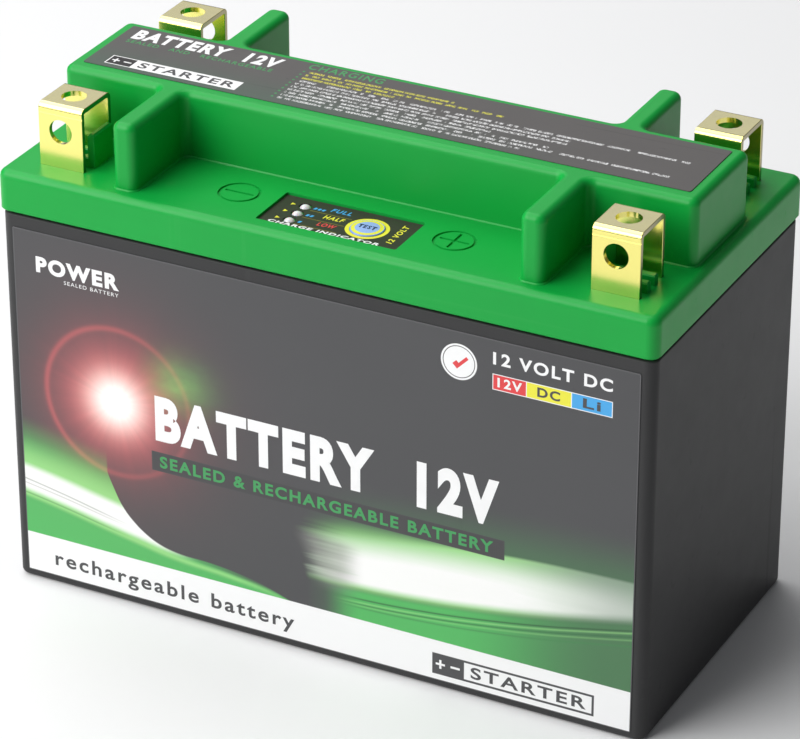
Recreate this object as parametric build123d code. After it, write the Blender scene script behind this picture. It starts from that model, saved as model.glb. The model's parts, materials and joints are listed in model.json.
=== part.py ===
from build123d import *
import os
from math import radians, tan

# A sealed lithium starter battery for motorcycles: black case, green lid with a
# raised spine and four ribs, four brass strap terminals and a charge indicator with
# a spring-returned test button. Inside are four pouch cells, their tab board, the
# leads to the terminals and the foam that packs them.
#
# Millimetres. Origin at the centre of the base, +X along the length towards the
# positive terminals, -Y towards the labelled front, +Z up.

# Overall size
LENGTH = 175.0
WIDTH = 87.0
HEIGHT = 131.0

# Case
CASE_LENGTH = 174.0
CASE_WIDTH = 85.8
CASE_WALL = 2.6
CASE_FLOOR = 2.5
CASE_CORNER = 2.8
CASE_BASE_RADIUS = 1.4
CASE_SHOULDER = 102.2
CASE_LIP_RADIUS = 0.5
TONGUE_STEP = 1.6
TONGUE_TOP = 109.5

# Lid
LID_BOTTOM = 103.0
DECK = 113.6
DECK_THICKNESS = 2.6
SKIRT_WALL = 2.0
LID_CORNER = 2.8
RIM_RADIUS = 2.0
LID_EDGE_CHAMFER = 0.35
LABEL_THICKNESS = 0.2
FRONT_LABEL_LENGTH = 167.4
FRONT_LABEL_HEIGHT = 96.6
FRONT_LABEL_MIDDLE = 50.6
TOP_LABEL_LENGTH = 162.2
TOP_LABEL_WIDTH = 24.6
SPINE_TOP = HEIGHT - LABEL_THICKNESS
SPINE_LENGTH = 168.9
SPINE_WIDTH = 31.4
SPINE_WALL = 2.2
RIB_X = 53.85
RIB_THICKNESS = 6.3
RIB_END = 39.6
CROWN_CORNER = 2.2
CROWN_EDGE_RADIUS = 1.9
PLINTH = 0.35

# Terminals: inverted U straps, one in each corner of the lid
TERMINAL_X = 73.4
TERMINAL_Y = 28.9
STRAP_WIDTH = 12.2
STRAP_DEPTH = 13.6
STRAP_TOP = 130.0
STRAP = 1.3
BEND_RADIUS = 1.6
BOLT_HOLE = 6.3
SIDE_HOLE_Z = 123.2
COIN_LINE_DROP = 2.2
COIN_LINE_WIDTH = 0.4
COIN_LINE_DEPTH = 0.15
FOOT_LENGTH = 3.0
FOOT_THICKNESS = 1.3
LEG_BOTTOM = 105.0
SLOT_CLEARANCE = 0.05
CORNERS = [(side, face) for side in (-1, 1) for face in (-1, 1)]
CORNER_NAMES = {
    (-1, -1): "front_left",
    (1, -1): "front_right",
    (-1, 1): "rear_left",
    (1, 1): "rear_right",
}

# Nut seat beside and under each strap, moulded with the lid
SEAT_WALL_X = (66.2, 68.0)
SEAT_Y = (23.5, 32.2)
SEAT_WALL_HEIGHT = 8.8
SEAT_BAR_HEIGHT = 2.5
SEAT_BAR_WIDTH = 2.0
SEAT_BAR_END = 79.8
SEAT_BARS_Y = (27.0, 31.2)

# Polarity marks, engraved
MARK_X = 28.7
MARK_Y = -27.8
MARK_RING = 10.6
MARK_LINE = 0.75
MARK_ARM = 7.8
MARK_DEPTH = 0.45

# Charge indicator
INDICATOR_Y = -30.4
RECESS_LENGTH = 37.2
RECESS_WIDTH = 16.0
PANEL_DROP = 0.6
PANEL_THICKNESS = 0.4
PANEL_TOP = DECK - PANEL_DROP
PANEL_GAP = 0.15
LED_X = -11.6
LED_PITCH = 4.0
LED_DIAMETER = 3.0
LED_NAMES = {"led_full": 1, "led_half": 0, "led_low": -1}
BUTTON_X = 7.1
BUTTON_DIAMETER = 8.5
BUTTON_CLEARANCE = 0.1
BUTTON_PROUD = 0.3
BUTTON_CROWN = 0.2
BUTTON_TRAVEL = 0.4
BUTTON_FLANGE = 10.2
BUTTON_FLANGE_THICKNESS = 0.9
BUTTON_STEM = 3.0
UNDERSIDE = DECK - DECK_THICKNESS

# Indicator board under the lid
BOARD_THICKNESS = 1.2
BOARD_TOP = 105.6
BOARD_LENGTH = 37.0
BOARD_WIDTH = 15.0
BOSS_X = 16.0
BOSS_DIAMETER = 4.4
BOARD_SCREW = 1.9
BOARD_SCREW_HEAD = 3.6
SWITCH_SIZE = 6.0
SWITCH_HEIGHT = 3.4
PLUNGER_DIAMETER = 3.4
PLUNGER_DEPTH = 1.0
PLUNGER_PROUD = 0.9

# Cells: four pouches standing on edge, stacked front to rear
CELL_COUNT = 4
CELL_LENGTH = 138.0
CELL_THICKNESS = 10.5
CELL_HEIGHT = 64.0
CELL_PITCH = 12.0
CELL_BOTTOM = 11.5
CELL_SEAL = 0.8
CELL_TOP_SEAL = 6.0
CELL_SIDE_SEAL = 3.0
CELL_TOP = CELL_BOTTOM + CELL_HEIGHT
CELL_YS = [(i - (CELL_COUNT - 1) / 2) * CELL_PITCH for i in range(CELL_COUNT)]
STACK_WIDTH = (CELL_COUNT - 1) * CELL_PITCH + CELL_THICKNESS
TAB_X = 40.0
TAB_WIDTH = 24.0
TAB_THICKNESS = 0.5
TAB_TOP = 81.2

# Tab board on top of the cells
TRAY_THICKNESS = 2.5
TAB_BOARD_THICKNESS = 1.6
TAB_BOARD_TOP = CELL_TOP + TRAY_THICKNESS + TAB_BOARD_THICKNESS
BAR_THICKNESS = 1.2
BAR_TOP = TAB_BOARD_TOP + BAR_THICKNESS
LEAD_PAD_X = -22.0

# Bus plates, leads and lugs
PLATE_TOP = 106.0
PLATE_THICKNESS = 1.5
PLATE_WIDTH = 11.0
PLATE_END_TOP = 110.5
RIVET_DIAMETER = 2.4
RIVET_HEAD = 4.0
RIVET_HEAD_HEIGHT = 0.9
RIVET_Z = 108.2
RIVET_SPREAD = 3.2
LUG_THICKNESS = 0.8
LUG_WIDTH = 9.0
BARREL_LENGTH = 7.0
BARREL_START = 7.5
LEAD_DIAMETER = 4.4
BARREL_BORE = 4.5
BARREL_DIAMETER = 5.8
LUG_SCREW = 3.9
BARREL_Z = PLATE_TOP - PLATE_THICKNESS - BARREL_DIAMETER / 2
CABLE_DIAMETER = 2.0

# Foam round the cells
FOAM_CLEARANCE = 0.3

BASE = (Align.CENTER, Align.CENTER, Align.MIN)


def block(x, y, z):
    """Box between two corners: x, y and z are each a (low, high) pair."""
    low = [min(pair) for pair in (x, y, z)]
    size = [abs(pair[1] - pair[0]) for pair in (x, y, z)]
    return Pos(*low) * Box(*size, align=(Align.MIN, Align.MIN, Align.MIN))


def slab(length, width, low, high, corner):
    """Upright block centred on the Z axis, with rounded upright corners."""
    outline = RectangleRounded(length, width, corner)
    return Pos(0, 0, low) * extrude(outline, high - low)


def disc(x, y, low, high, diameter):
    """Upright cylinder from one height to another."""
    return Pos(x, y, low) * Cylinder(diameter / 2, high - low, align=BASE)


def cross_pin(x, y, z, length, diameter):
    """Cylinder along Y, centred on a point."""
    return Pos(x, y, z) * Rot(90, 0, 0) * Cylinder(diameter / 2, length)


def fuse(shapes):
    """One shape from many."""
    total = shapes[0]
    for shape in shapes[1:]:
        total = total + shape
    return total


def save(node, shape):
    shape.label = node
    export_step(shape, f"parts/{node}.step")


# ---------------------------------------------------------------- case


def make_case():
    body = slab(CASE_LENGTH, CASE_WIDTH, 0, CASE_SHOULDER, CASE_CORNER)
    body = fillet(body.faces().sort_by(Axis.Z)[0].edges(), CASE_BASE_RADIUS)
    body = fillet(body.faces().sort_by(Axis.Z)[-1].edges(), CASE_LIP_RADIUS)
    tongue = slab(
        CASE_LENGTH - 2 * TONGUE_STEP,
        CASE_WIDTH - 2 * TONGUE_STEP,
        CASE_SHOULDER,
        TONGUE_TOP,
        CASE_CORNER - TONGUE_STEP,
    )
    cavity = slab(
        CASE_LENGTH - 2 * CASE_WALL,
        CASE_WIDTH - 2 * CASE_WALL,
        CASE_FLOOR,
        TONGUE_TOP,
        CASE_CORNER - CASE_WALL,
    )
    return body + tongue - cavity


def make_lid_seal():
    outer = slab(
        CASE_LENGTH - 2 * TONGUE_STEP,
        CASE_WIDTH - 2 * TONGUE_STEP,
        TONGUE_TOP,
        UNDERSIDE,
        CASE_CORNER - TONGUE_STEP,
    )
    inner = slab(
        CASE_LENGTH - 2 * CASE_WALL,
        CASE_WIDTH - 2 * CASE_WALL,
        TONGUE_TOP,
        UNDERSIDE,
        CASE_CORNER - CASE_WALL,
    )
    return outer - inner


# ---------------------------------------------------------------- lid


def crown_outline(grow):
    """Plan of the spine and its two pairs of ribs, grown all round."""
    outline = Rectangle(SPINE_LENGTH + 2 * grow, SPINE_WIDTH + 2 * grow)
    for side in (-1, 1):
        rib = Rectangle(RIB_THICKNESS + 2 * grow, 2 * (RIB_END + grow))
        outline = outline + Pos(side * RIB_X, 0) * rib
    return fillet(outline.vertices(), CROWN_CORNER)


def make_crown():
    crown = Pos(0, 0, UNDERSIDE) * extrude(crown_outline(0), SPINE_TOP - UNDERSIDE)
    crown = fillet(crown.faces().sort_by(Axis.Z)[-1].edges(), CROWN_EDGE_RADIUS)
    plinth = Pos(0, 0, UNDERSIDE) * extrude(crown_outline(PLINTH), DECK + PLINTH - UNDERSIDE)
    plinth = chamfer(plinth.faces().sort_by(Axis.Z)[-1].edges(), PLINTH * 0.8)
    return crown + plinth


def crown_cavity():
    roof = SPINE_TOP - SPINE_WALL
    half_length = SPINE_LENGTH / 2 - SPINE_WALL
    half_width = SPINE_WIDTH / 2 - SPINE_WALL
    spine = block((-half_length, half_length), (-half_width, half_width), (UNDERSIDE, roof))
    slot = RIB_THICKNESS / 2 - SPINE_WALL
    reach = RIB_END - SPINE_WALL
    ribs = [
        Pos(side * RIB_X, 0, 0) * block((-slot, slot), (-reach, reach), (UNDERSIDE, roof))
        for side in (-1, 1)
    ]
    return fuse([spine] + ribs)


def make_nut_seat(side, face):
    """Low wall beside a strap and two bars under it, joined to the deck."""
    wall = block(SEAT_WALL_X, SEAT_Y, (DECK, DECK + SEAT_WALL_HEIGHT))
    wall = chamfer(wall.faces().sort_by(Axis.Z)[-1].edges(), 0.5)
    bars = [
        block(
            (SEAT_WALL_X[1], SEAT_BAR_END),
            (y - SEAT_BAR_WIDTH / 2, y + SEAT_BAR_WIDTH / 2),
            (DECK, DECK + SEAT_BAR_HEIGHT),
        )
        for y in SEAT_BARS_Y
    ]
    bars = [chamfer(bar.edges().group_by(Axis.Z)[-1], 0.3) for bar in bars]
    seat = fuse([wall] + bars)
    if side < 0:
        seat = mirror(seat, about=Plane.YZ)
    if face < 0:
        seat = mirror(seat, about=Plane.XZ)
    return seat


def leg_span(inner):
    """Distance from the lid's centre line of a strap leg's two faces."""
    if inner:
        near = TERMINAL_Y - STRAP_DEPTH / 2
    else:
        near = TERMINAL_Y + STRAP_DEPTH / 2 - STRAP
    return (near, near + STRAP)


def make_leg_slots(side, face):
    """Slots that the strap's two legs pass down through."""
    half = STRAP_WIDTH / 2 + SLOT_CLEARANCE
    x = (side * TERMINAL_X - half, side * TERMINAL_X + half)
    slots = []
    for inner in (True, False):
        near, far = leg_span(inner)
        y = (face * (near - SLOT_CLEARANCE), face * (far + SLOT_CLEARANCE))
        slots.append(block(x, y, (UNDERSIDE - 1, DECK + 1)))
    return slots


def make_mark(x, plus):
    """Ringed minus or plus sign, as a cutter for the deck."""
    ring = Circle(MARK_RING / 2) - Circle(MARK_RING / 2 - MARK_LINE)
    sign = RectangleRounded(MARK_ARM, MARK_LINE, MARK_LINE * 0.4)
    if plus:
        sign = sign + Rot(0, 0, 90) * sign
    return Pos(x, MARK_Y, DECK - MARK_DEPTH) * extrude(ring + sign, MARK_DEPTH + 1)


def make_lid():
    rim = slab(LENGTH, WIDTH, LID_BOTTOM, DECK, LID_CORNER)
    rim = fillet(rim.faces().sort_by(Axis.Z)[-1].edges(), RIM_RADIUS)
    rim = chamfer(rim.faces().sort_by(Axis.Z)[0].edges(), LID_EDGE_CHAMFER)
    inside = slab(
        LENGTH - 2 * SKIRT_WALL,
        WIDTH - 2 * SKIRT_WALL,
        LID_BOTTOM,
        UNDERSIDE,
        LID_CORNER - SKIRT_WALL,
    )
    lid = rim - inside + make_crown() - crown_cavity()
    for corner in CORNERS:
        lid = lid + make_nut_seat(*corner)
        for slot in make_leg_slots(*corner):
            lid = lid - slot
    for side in (-1, 1):
        x = side * BOSS_X
        boss = disc(x, INDICATOR_Y, BOARD_TOP, UNDERSIDE, BOSS_DIAMETER)
        pilot = disc(x, INDICATOR_Y, BOARD_TOP, UNDERSIDE - 0.5, BOARD_SCREW + 0.1)
        lid = lid + boss - pilot
    recess = extrude(RectangleRounded(RECESS_LENGTH, RECESS_WIDTH, 0.6), 5)
    lid = lid - Pos(0, INDICATOR_Y, PANEL_TOP - PANEL_THICKNESS) * recess
    for hole in indicator_holes():
        lid = lid - hole
    lid = lid - make_mark(-MARK_X, plus=False) - make_mark(MARK_X, plus=True)
    return lid


# ---------------------------------------------------------------- terminals


def make_terminal(side, face):
    """Brass strap bent into an inverted U, with a foot on its outer leg."""
    near = leg_span(inner=True)[0]
    far = leg_span(inner=False)[1]
    outer = Polyline((near, LEG_BOTTOM), (near, STRAP_TOP), (far, STRAP_TOP), (far, LEG_BOTTOM), close=True)
    profile = make_face(outer)
    top_points = profile.vertices().group_by(Axis.Y)[-1]
    profile = fillet(top_points, BEND_RADIUS)
    gap = make_face(
        Polyline(
            (near + STRAP, LEG_BOTTOM),
            (near + STRAP, STRAP_TOP - STRAP),
            (far - STRAP, STRAP_TOP - STRAP),
            (far - STRAP, LEG_BOTTOM),
            close=True,
        )
    )
    gap = fillet(gap.vertices().group_by(Axis.Y)[-1], BEND_RADIUS - STRAP)
    below_foot = make_face(
        Polyline(
            (far - STRAP, LEG_BOTTOM),
            (far - STRAP, UNDERSIDE - FOOT_THICKNESS),
            (far, UNDERSIDE - FOOT_THICKNESS),
            (far, LEG_BOTTOM),
            close=True,
        )
    )
    profile = profile - gap - below_foot
    foot = Pos((2 * far + FOOT_LENGTH - STRAP) / 2, UNDERSIDE - FOOT_THICKNESS / 2)
    profile = profile + foot * Rectangle(FOOT_LENGTH + STRAP, FOOT_THICKNESS)
    strap = extrude(Plane.YZ * profile, STRAP_WIDTH / 2, both=True)
    edges = strap.faces().filter_by(Axis.X).edges()
    strap = fillet(edges, 0.15)
    strap = strap - disc(0, TERMINAL_Y, STRAP_TOP - 2 * STRAP, STRAP_TOP + 1, BOLT_HOLE)
    strap = strap - cross_pin(0, far, SIDE_HOLE_Z, 2 * STRAP + 1, BOLT_HOLE)
    for x in (-RIVET_SPREAD, RIVET_SPREAD):
        strap = strap - cross_pin(x, near, RIVET_Z, 3 * STRAP, RIVET_DIAMETER + 0.1)
    line_z = STRAP_TOP - COIN_LINE_DROP
    strap = strap - block(
        (-STRAP_WIDTH, STRAP_WIDTH),
        (far - COIN_LINE_DEPTH, far + 1),
        (line_z - COIN_LINE_WIDTH, line_z),
    )
    strap = Pos(side * TERMINAL_X, 0, 0) * strap
    if face < 0:
        strap = mirror(strap, about=Plane.XZ)
    return strap


def make_bus_plate(side):
    """Bar joining the front and rear straps of one side under the lid."""
    reach = leg_span(inner=True)[0]
    half = PLATE_WIDTH / 2
    bar = block((-half, half), (-reach, reach), (PLATE_TOP - PLATE_THICKNESS, PLATE_TOP))
    for face in (-1, 1):
        y = (face * (reach - PLATE_THICKNESS), face * reach)
        bar = bar + block((-half, half), y, (PLATE_TOP - PLATE_THICKNESS, PLATE_END_TOP))
        for x in (-RIVET_SPREAD, RIVET_SPREAD):
            hole = cross_pin(x, face * reach, RIVET_Z, 3 * PLATE_THICKNESS + 0.6, RIVET_DIAMETER + 0.1)
            bar = bar - hole
    bar = bar - disc(0, 0, PLATE_TOP - 2 * PLATE_THICKNESS, PLATE_TOP + 1, LUG_SCREW + 0.3)
    return Pos(side * TERMINAL_X, 0, 0) * bar


def make_bus_rivets():
    """Two rivets through each inner leg and the bus plate's turned-up end."""
    rivets = []
    leg_near, leg_far = leg_span(inner=True)
    plate_face = leg_near - PLATE_THICKNESS
    middle = (leg_far + plate_face) / 2
    grip = leg_far - plate_face
    for side, face in CORNERS:
        for offset in (-RIVET_SPREAD, RIVET_SPREAD):
            x = side * TERMINAL_X + offset
            shank = cross_pin(x, face * middle, RIVET_Z, grip, RIVET_DIAMETER)
            near_head = cross_pin(
                x, face * (plate_face - RIVET_HEAD_HEIGHT / 2), RIVET_Z, RIVET_HEAD_HEIGHT, RIVET_HEAD
            )
            far_head = cross_pin(
                x, face * (leg_far + RIVET_HEAD_HEIGHT / 2), RIVET_Z, RIVET_HEAD_HEIGHT, RIVET_HEAD
            )
            rivets.append(shank + near_head + far_head)
    return Compound(children=rivets)


# ---------------------------------------------------------------- labels


def make_front_label():
    """Printed film on the case's front face."""
    face = CASE_WIDTH / 2
    outline = RectangleRounded(FRONT_LABEL_LENGTH, FRONT_LABEL_HEIGHT, 0.3)
    plate = extrude(outline, LABEL_THICKNESS)
    return Pos(0, -face, FRONT_LABEL_MIDDLE) * Rot(90, 0, 0) * plate


def make_top_label():
    """Printed film along the top of the spine."""
    outline = RectangleRounded(TOP_LABEL_LENGTH, TOP_LABEL_WIDTH, 0.6)
    return Pos(0, 0.4, SPINE_TOP) * extrude(outline, LABEL_THICKNESS)


# ---------------------------------------------------------------- indicator


def indicator_holes():
    """Holes for the three lamps and the button, through panel and deck."""
    low = UNDERSIDE - 0.5
    holes = [
        disc(LED_X, INDICATOR_Y + step * LED_PITCH, low, DECK, LED_DIAMETER + 0.3)
        for step in (-1, 0, 1)
    ]
    bore = BUTTON_DIAMETER + 2 * BUTTON_CLEARANCE
    holes.append(disc(BUTTON_X, INDICATOR_Y, low, DECK, bore))
    return holes


def make_indicator_panel():
    outline = RectangleRounded(RECESS_LENGTH - 2 * PANEL_GAP, RECESS_WIDTH - 2 * PANEL_GAP, 0.5)
    panel = Pos(0, INDICATOR_Y, PANEL_TOP - PANEL_THICKNESS) * extrude(outline, PANEL_THICKNESS)
    for hole in indicator_holes():
        panel = panel - hole
    return panel


def make_led(step):
    """Round lamp with a flange and two leads through the board."""
    y = INDICATOR_Y + step * LED_PITCH
    radius = LED_DIAMETER / 2
    flange_low = BOARD_TOP + 2.6
    shoulder = PANEL_TOP + 0.45 - radius
    lens = disc(LED_X, y, flange_low, shoulder, LED_DIAMETER)
    dome = Pos(LED_X, y, shoulder) * Sphere(radius)
    flange = disc(LED_X, y, flange_low, flange_low + 0.8, LED_DIAMETER + 0.6)
    lead_low = BOARD_TOP - BOARD_THICKNESS - 0.6
    leads = [
        block(
            (LED_X + offset - 0.25, LED_X + offset + 0.25),
            (y - 0.25, y + 0.25),
            (lead_low, flange_low + 0.2),
        )
        for offset in (-0.75, 0.75)
    ]
    return fuse([lens, dome, flange] + leads)


def make_test_button():
    """Crowned cap, a flange that keeps it in the lid, and a stem to the switch."""
    radius = BUTTON_DIAMETER / 2
    edge = PANEL_TOP + BUTTON_PROUD
    flange_top = UNDERSIDE - 0.05
    flange_low = flange_top - BUTTON_FLANGE_THICKNESS
    cap = disc(0, 0, flange_low, edge, BUTTON_DIAMETER)
    cap = chamfer(cap.faces().sort_by(Axis.Z)[-1].edges(), 0.15)
    arc = ThreePointArc((-radius + 0.4, edge - 0.02), (0, edge + BUTTON_CROWN), (radius - 0.4, edge - 0.02))
    lens = make_face(arc + Line(arc @ 1, arc @ 0))
    half_lens = split(lens, bisect_by=Plane.YZ, keep=Keep.TOP)
    crown = revolve(Plane.XZ * half_lens, Axis.Z)
    flange = disc(0, 0, flange_low, flange_top, BUTTON_FLANGE)
    stem_low = BOARD_TOP + SWITCH_HEIGHT + PLUNGER_PROUD
    stem = disc(0, 0, stem_low, flange_low, BUTTON_STEM)
    return Pos(BUTTON_X, INDICATOR_Y, 0) * (cap + crown + flange + stem)


def make_switch_body():
    """Tact switch housing with a well for its plunger and four feet."""
    half = SWITCH_SIZE / 2
    body = block((-half, half), (-half, half), (BOARD_TOP, BOARD_TOP + SWITCH_HEIGHT))
    well_floor = BOARD_TOP + SWITCH_HEIGHT - PLUNGER_DEPTH - BUTTON_TRAVEL - 0.1
    body = body - disc(0, 0, well_floor, BOARD_TOP + SWITCH_HEIGHT, PLUNGER_DIAMETER + 0.1)
    pin_low = BOARD_TOP - BOARD_THICKNESS - 0.6
    for x in (-2.3, 2.3):
        for y in (-2.3, 2.3):
            body = body + block((x - 0.3, x + 0.3), (y - 0.3, y + 0.3), (pin_low, BOARD_TOP))
    return Pos(BUTTON_X, INDICATOR_Y, 0) * body


def make_switch_plunger():
    top = BOARD_TOP + SWITCH_HEIGHT + PLUNGER_PROUD
    low = BOARD_TOP + SWITCH_HEIGHT - PLUNGER_DEPTH
    return disc(BUTTON_X, INDICATOR_Y, low, top, PLUNGER_DIAMETER)


def make_indicator_board():
    """Circuit board hung under the lid, drilled for lamp and switch leads."""
    half_length = BOARD_LENGTH / 2
    half_width = BOARD_WIDTH / 2
    low = BOARD_TOP - BOARD_THICKNESS
    board = block(
        (-half_length, half_length),
        (INDICATOR_Y - half_width, INDICATOR_Y + half_width),
        (low, BOARD_TOP),
    )
    drills = [(side * BOSS_X, 0, BOARD_SCREW + 0.3) for side in (-1, 1)]
    drills += [
        (LED_X + offset, step * LED_PITCH, 0.9) for offset in (-0.75, 0.75) for step in (-1, 0, 1)
    ]
    drills += [(BUTTON_X + x, y, 1.0) for x in (-2.3, 2.3) for y in (-2.3, 2.3)]
    for x, y, diameter in drills:
        board = board - disc(x, INDICATOR_Y + y, low - 1, BOARD_TOP + 1, diameter)
    return board


def make_board_screws():
    """Two self-tapping screws from below into the lid's bosses."""
    low = BOARD_TOP - BOARD_THICKNESS
    screws = []
    for side in (-1, 1):
        x = side * BOSS_X
        head = disc(x, INDICATOR_Y, low - 1.2, low, BOARD_SCREW_HEAD)
        head = fillet(head.faces().sort_by(Axis.Z)[0].edges(), 0.5)
        slot = Pos(x, INDICATOR_Y, low - 1.2) * Box(2.2, 0.5, 1.0)
        cross = Pos(x, INDICATOR_Y, low - 1.2) * Box(0.5, 2.2, 1.0)
        shank = disc(x, INDICATOR_Y, low, UNDERSIDE - 1.0, BOARD_SCREW)
        screws.append(head - slot - cross + shank)
    return Compound(children=screws)


def make_socket(x, y, low, high, opening_up):
    """Small cable connector with a round entry for the cable."""
    body = block((x - 4.0, x + 4.0), (y - 2.5, y + 2.5), (low, high))
    if opening_up:
        entry = disc(x, y, high - 1.5, high, CABLE_DIAMETER + 0.1)
    else:
        entry = disc(x, y, low, low + 1.5, CABLE_DIAMETER + 0.1)
    return body - entry


# ---------------------------------------------------------------- cells


def make_cell(y):
    """Foil pouch: a rounded body with a flat seal round three edges."""
    body_height = CELL_HEIGHT - CELL_TOP_SEAL
    body = Pos(0, y, CELL_BOTTOM) * Box(CELL_LENGTH, CELL_THICKNESS, body_height, align=BASE)
    body = fillet(body.edges(), 2.2)
    seal_length = CELL_LENGTH + 2 * CELL_SIDE_SEAL
    seal = Pos(0, y, CELL_BOTTOM) * Box(seal_length, CELL_SEAL, CELL_HEIGHT, align=BASE)
    return body + seal


def is_positive(index, side):
    """Polarity of a cell's tab: neighbours in the stack face opposite ways."""
    return (index % 2 == 0) == (side > 0)


def make_cell_tabs(positive):
    """Every cell's tab of one polarity."""
    tabs = []
    for index, y in enumerate(CELL_YS):
        for side in (-1, 1):
            if is_positive(index, side) == positive:
                x = side * TAB_X
                tabs.append(
                    block(
                        (x - TAB_WIDTH / 2, x + TAB_WIDTH / 2),
                        (y - TAB_THICKNESS / 2, y + TAB_THICKNESS / 2),
                        (CELL_TOP, TAB_TOP),
                    )
                )
    return Compound(children=tabs)


def tab_slots(low, high, gap):
    """Clearance cutters round all the tabs."""
    return [
        block(
            (side * TAB_X - TAB_WIDTH / 2 - gap, side * TAB_X + TAB_WIDTH / 2 + gap),
            (y - TAB_THICKNESS / 2 - gap, y + TAB_THICKNESS / 2 + gap),
            (low, high),
        )
        for side in (-1, 1)
        for y in CELL_YS
    ]


def make_plate_with_tab_slots(length, width, low, high, gap):
    plate = slab(length, width, low, high, 1.0)
    for slot in tab_slots(low, high, gap):
        plate = plate - slot
    return plate


def make_cell_spacers():
    """Thin foam sheets between the cells."""
    gap = CELL_PITCH - CELL_THICKNESS
    sheets = []
    for low_y, high_y in zip(CELL_YS, CELL_YS[1:]):
        y = (low_y + high_y) / 2
        sheets.append(block((-66, 66), (y - gap / 2, y + gap / 2), (CELL_BOTTOM + 3, CELL_TOP - 9)))
    return Compound(children=sheets)


def make_pack_bands():
    """Two bands of fibre tape wound round the stack."""
    length = CELL_LENGTH + 2 * CELL_SIDE_SEAL + 0.8
    width = STACK_WIDTH + 0.1
    bands = []
    for low in (23.0, 51.0):
        outer = slab(length + 0.8, width + 0.8, low, low + 12, 1.6)
        inner = slab(length, width, low, low + 12, 1.2)
        bands.append(outer - inner)
    return Compound(children=bands)


def make_bar(side, low_y, high_y, lead_end=None):
    """Copper bar soldered over the tabs between two stack positions."""
    x = (side * TAB_X - TAB_WIDTH / 2 - 2, side * TAB_X + TAB_WIDTH / 2 + 2)
    if lead_end is not None:
        x = (x[0], lead_end)
    bar = block(x, (low_y - 3, high_y + 3), (TAB_BOARD_TOP, BAR_TOP))
    for slot in tab_slots(TAB_BOARD_TOP, BAR_TOP, 0.05):
        bar = bar - slot
    return bar


def make_link_bars():
    """The three series links, on alternate sides."""
    links = [(1, 0, 1), (-1, 1, 2), (1, 2, 3)]
    bars = [make_bar(side, CELL_YS[first], CELL_YS[second]) for side, first, second in links]
    return Compound(children=bars)


def make_pack_bar(index):
    """End bar of the stack, drawn out to a pad for its lead."""
    y = CELL_YS[index]
    return make_bar(-1, y, y, lead_end=LEAD_PAD_X + 4)


def make_balance_chips():
    """One balancing chip for each cell."""
    return Compound(
        children=[
            block((-8, -3), (y - 2, y + 2), (TAB_BOARD_TOP, TAB_BOARD_TOP + 1.6)) for y in CELL_YS
        ]
    )


def make_balance_resistors():
    """Three bleed resistors beside each balancing chip."""
    resistors = []
    for y in CELL_YS:
        for step in (-1, 0, 1):
            centre = y + step * 2.6
            resistors.append(
                block((1.5, 4.7), (centre - 0.8, centre + 0.8), (TAB_BOARD_TOP, TAB_BOARD_TOP + 0.6))
            )
    return Compound(children=resistors)


# ---------------------------------------------------------------- leads

SOCKET_TOP = TAB_BOARD_TOP + 5.0
SOCKET_X = 14.0
SOCKET_Y = -12.0
PLUG_LOW = BOARD_TOP - BOARD_THICKNESS - 4.0
BARREL_MOUTH = TERMINAL_X - BARREL_START - BARREL_LENGTH + 5.0

LEAD_NEGATIVE = [
    (-BARREL_MOUTH, 0, BARREL_Z),
    (-48, 0, BARREL_Z),
    (-34, -8, 98.5),
    (LEAD_PAD_X, CELL_YS[0], 92),
    (LEAD_PAD_X, CELL_YS[0], BAR_TOP),
]
LEAD_POSITIVE = [
    (LEAD_PAD_X, CELL_YS[3], BAR_TOP),
    (LEAD_PAD_X, CELL_YS[3], 91),
    (-9, 14, 98),
    (16, 6, 100),
    (46, 0, BARREL_Z),
    (BARREL_MOUTH, 0, BARREL_Z),
]
INDICATOR_CABLE = [
    (0, INDICATOR_Y, PLUG_LOW + 1.4),
    (0, INDICATOR_Y, PLUG_LOW - 6),
    (SOCKET_X, SOCKET_Y, SOCKET_TOP + 6),
    (SOCKET_X, SOCKET_Y, SOCKET_TOP - 1.4),
]


def bend_radii(points):
    """The widest arc for each corner: 0.45 of the shorter run over tan(half turn)."""
    corners = [Vector(*point) for point in points]
    radii = []
    for before, here, after in zip(corners, corners[1:], corners[2:]):
        run_in = here - before
        run_out = after - here
        half_turn = radians(run_in.get_angle(run_out)) / 2
        radii.append(0.45 * min(run_in.length, run_out.length) / tan(half_turn))
    return radii


def make_tube(points, diameter):
    """Round cable of straight runs joined by tangent arcs."""
    radii = bend_radii(points)
    print("bend radii", [round(radius, 1) for radius in radii], "for diameter", diameter)
    path = FilletPolyline(*points, radius=radii)
    section = Plane(origin=path @ 0, z_dir=path % 0) * Circle(diameter / 2)
    return sweep(section, path=path)


def make_lug(side):
    """Ring lug under a bus plate, its barrel pointing to the middle."""
    top = PLATE_TOP - PLATE_THICKNESS
    low = top - LUG_THICKNESS
    ring = disc(0, 0, low, top, LUG_WIDTH)
    half = BARREL_DIAMETER / 2
    end = BARREL_START + BARREL_LENGTH
    tongue = block((0, BARREL_START + 1.0), (-half, half), (low, top))
    barrel = Pos((BARREL_START + end) / 2, 0, BARREL_Z) * Rot(0, 90, 0) * Cylinder(half, BARREL_LENGTH)
    bore_start = BARREL_START + 1.2
    bore = Pos((bore_start + end) / 2, 0, BARREL_Z) * Rot(0, 90, 0)
    bore = bore * Cylinder(BARREL_BORE / 2, end - bore_start)
    lug = ring + tongue + barrel - bore
    lug = lug - disc(0, 0, low - 1, top + 1, LUG_SCREW + 0.3)
    if side > 0:
        lug = mirror(lug, about=Plane.YZ)
    return Pos(side * TERMINAL_X, 0, 0) * lug


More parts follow.
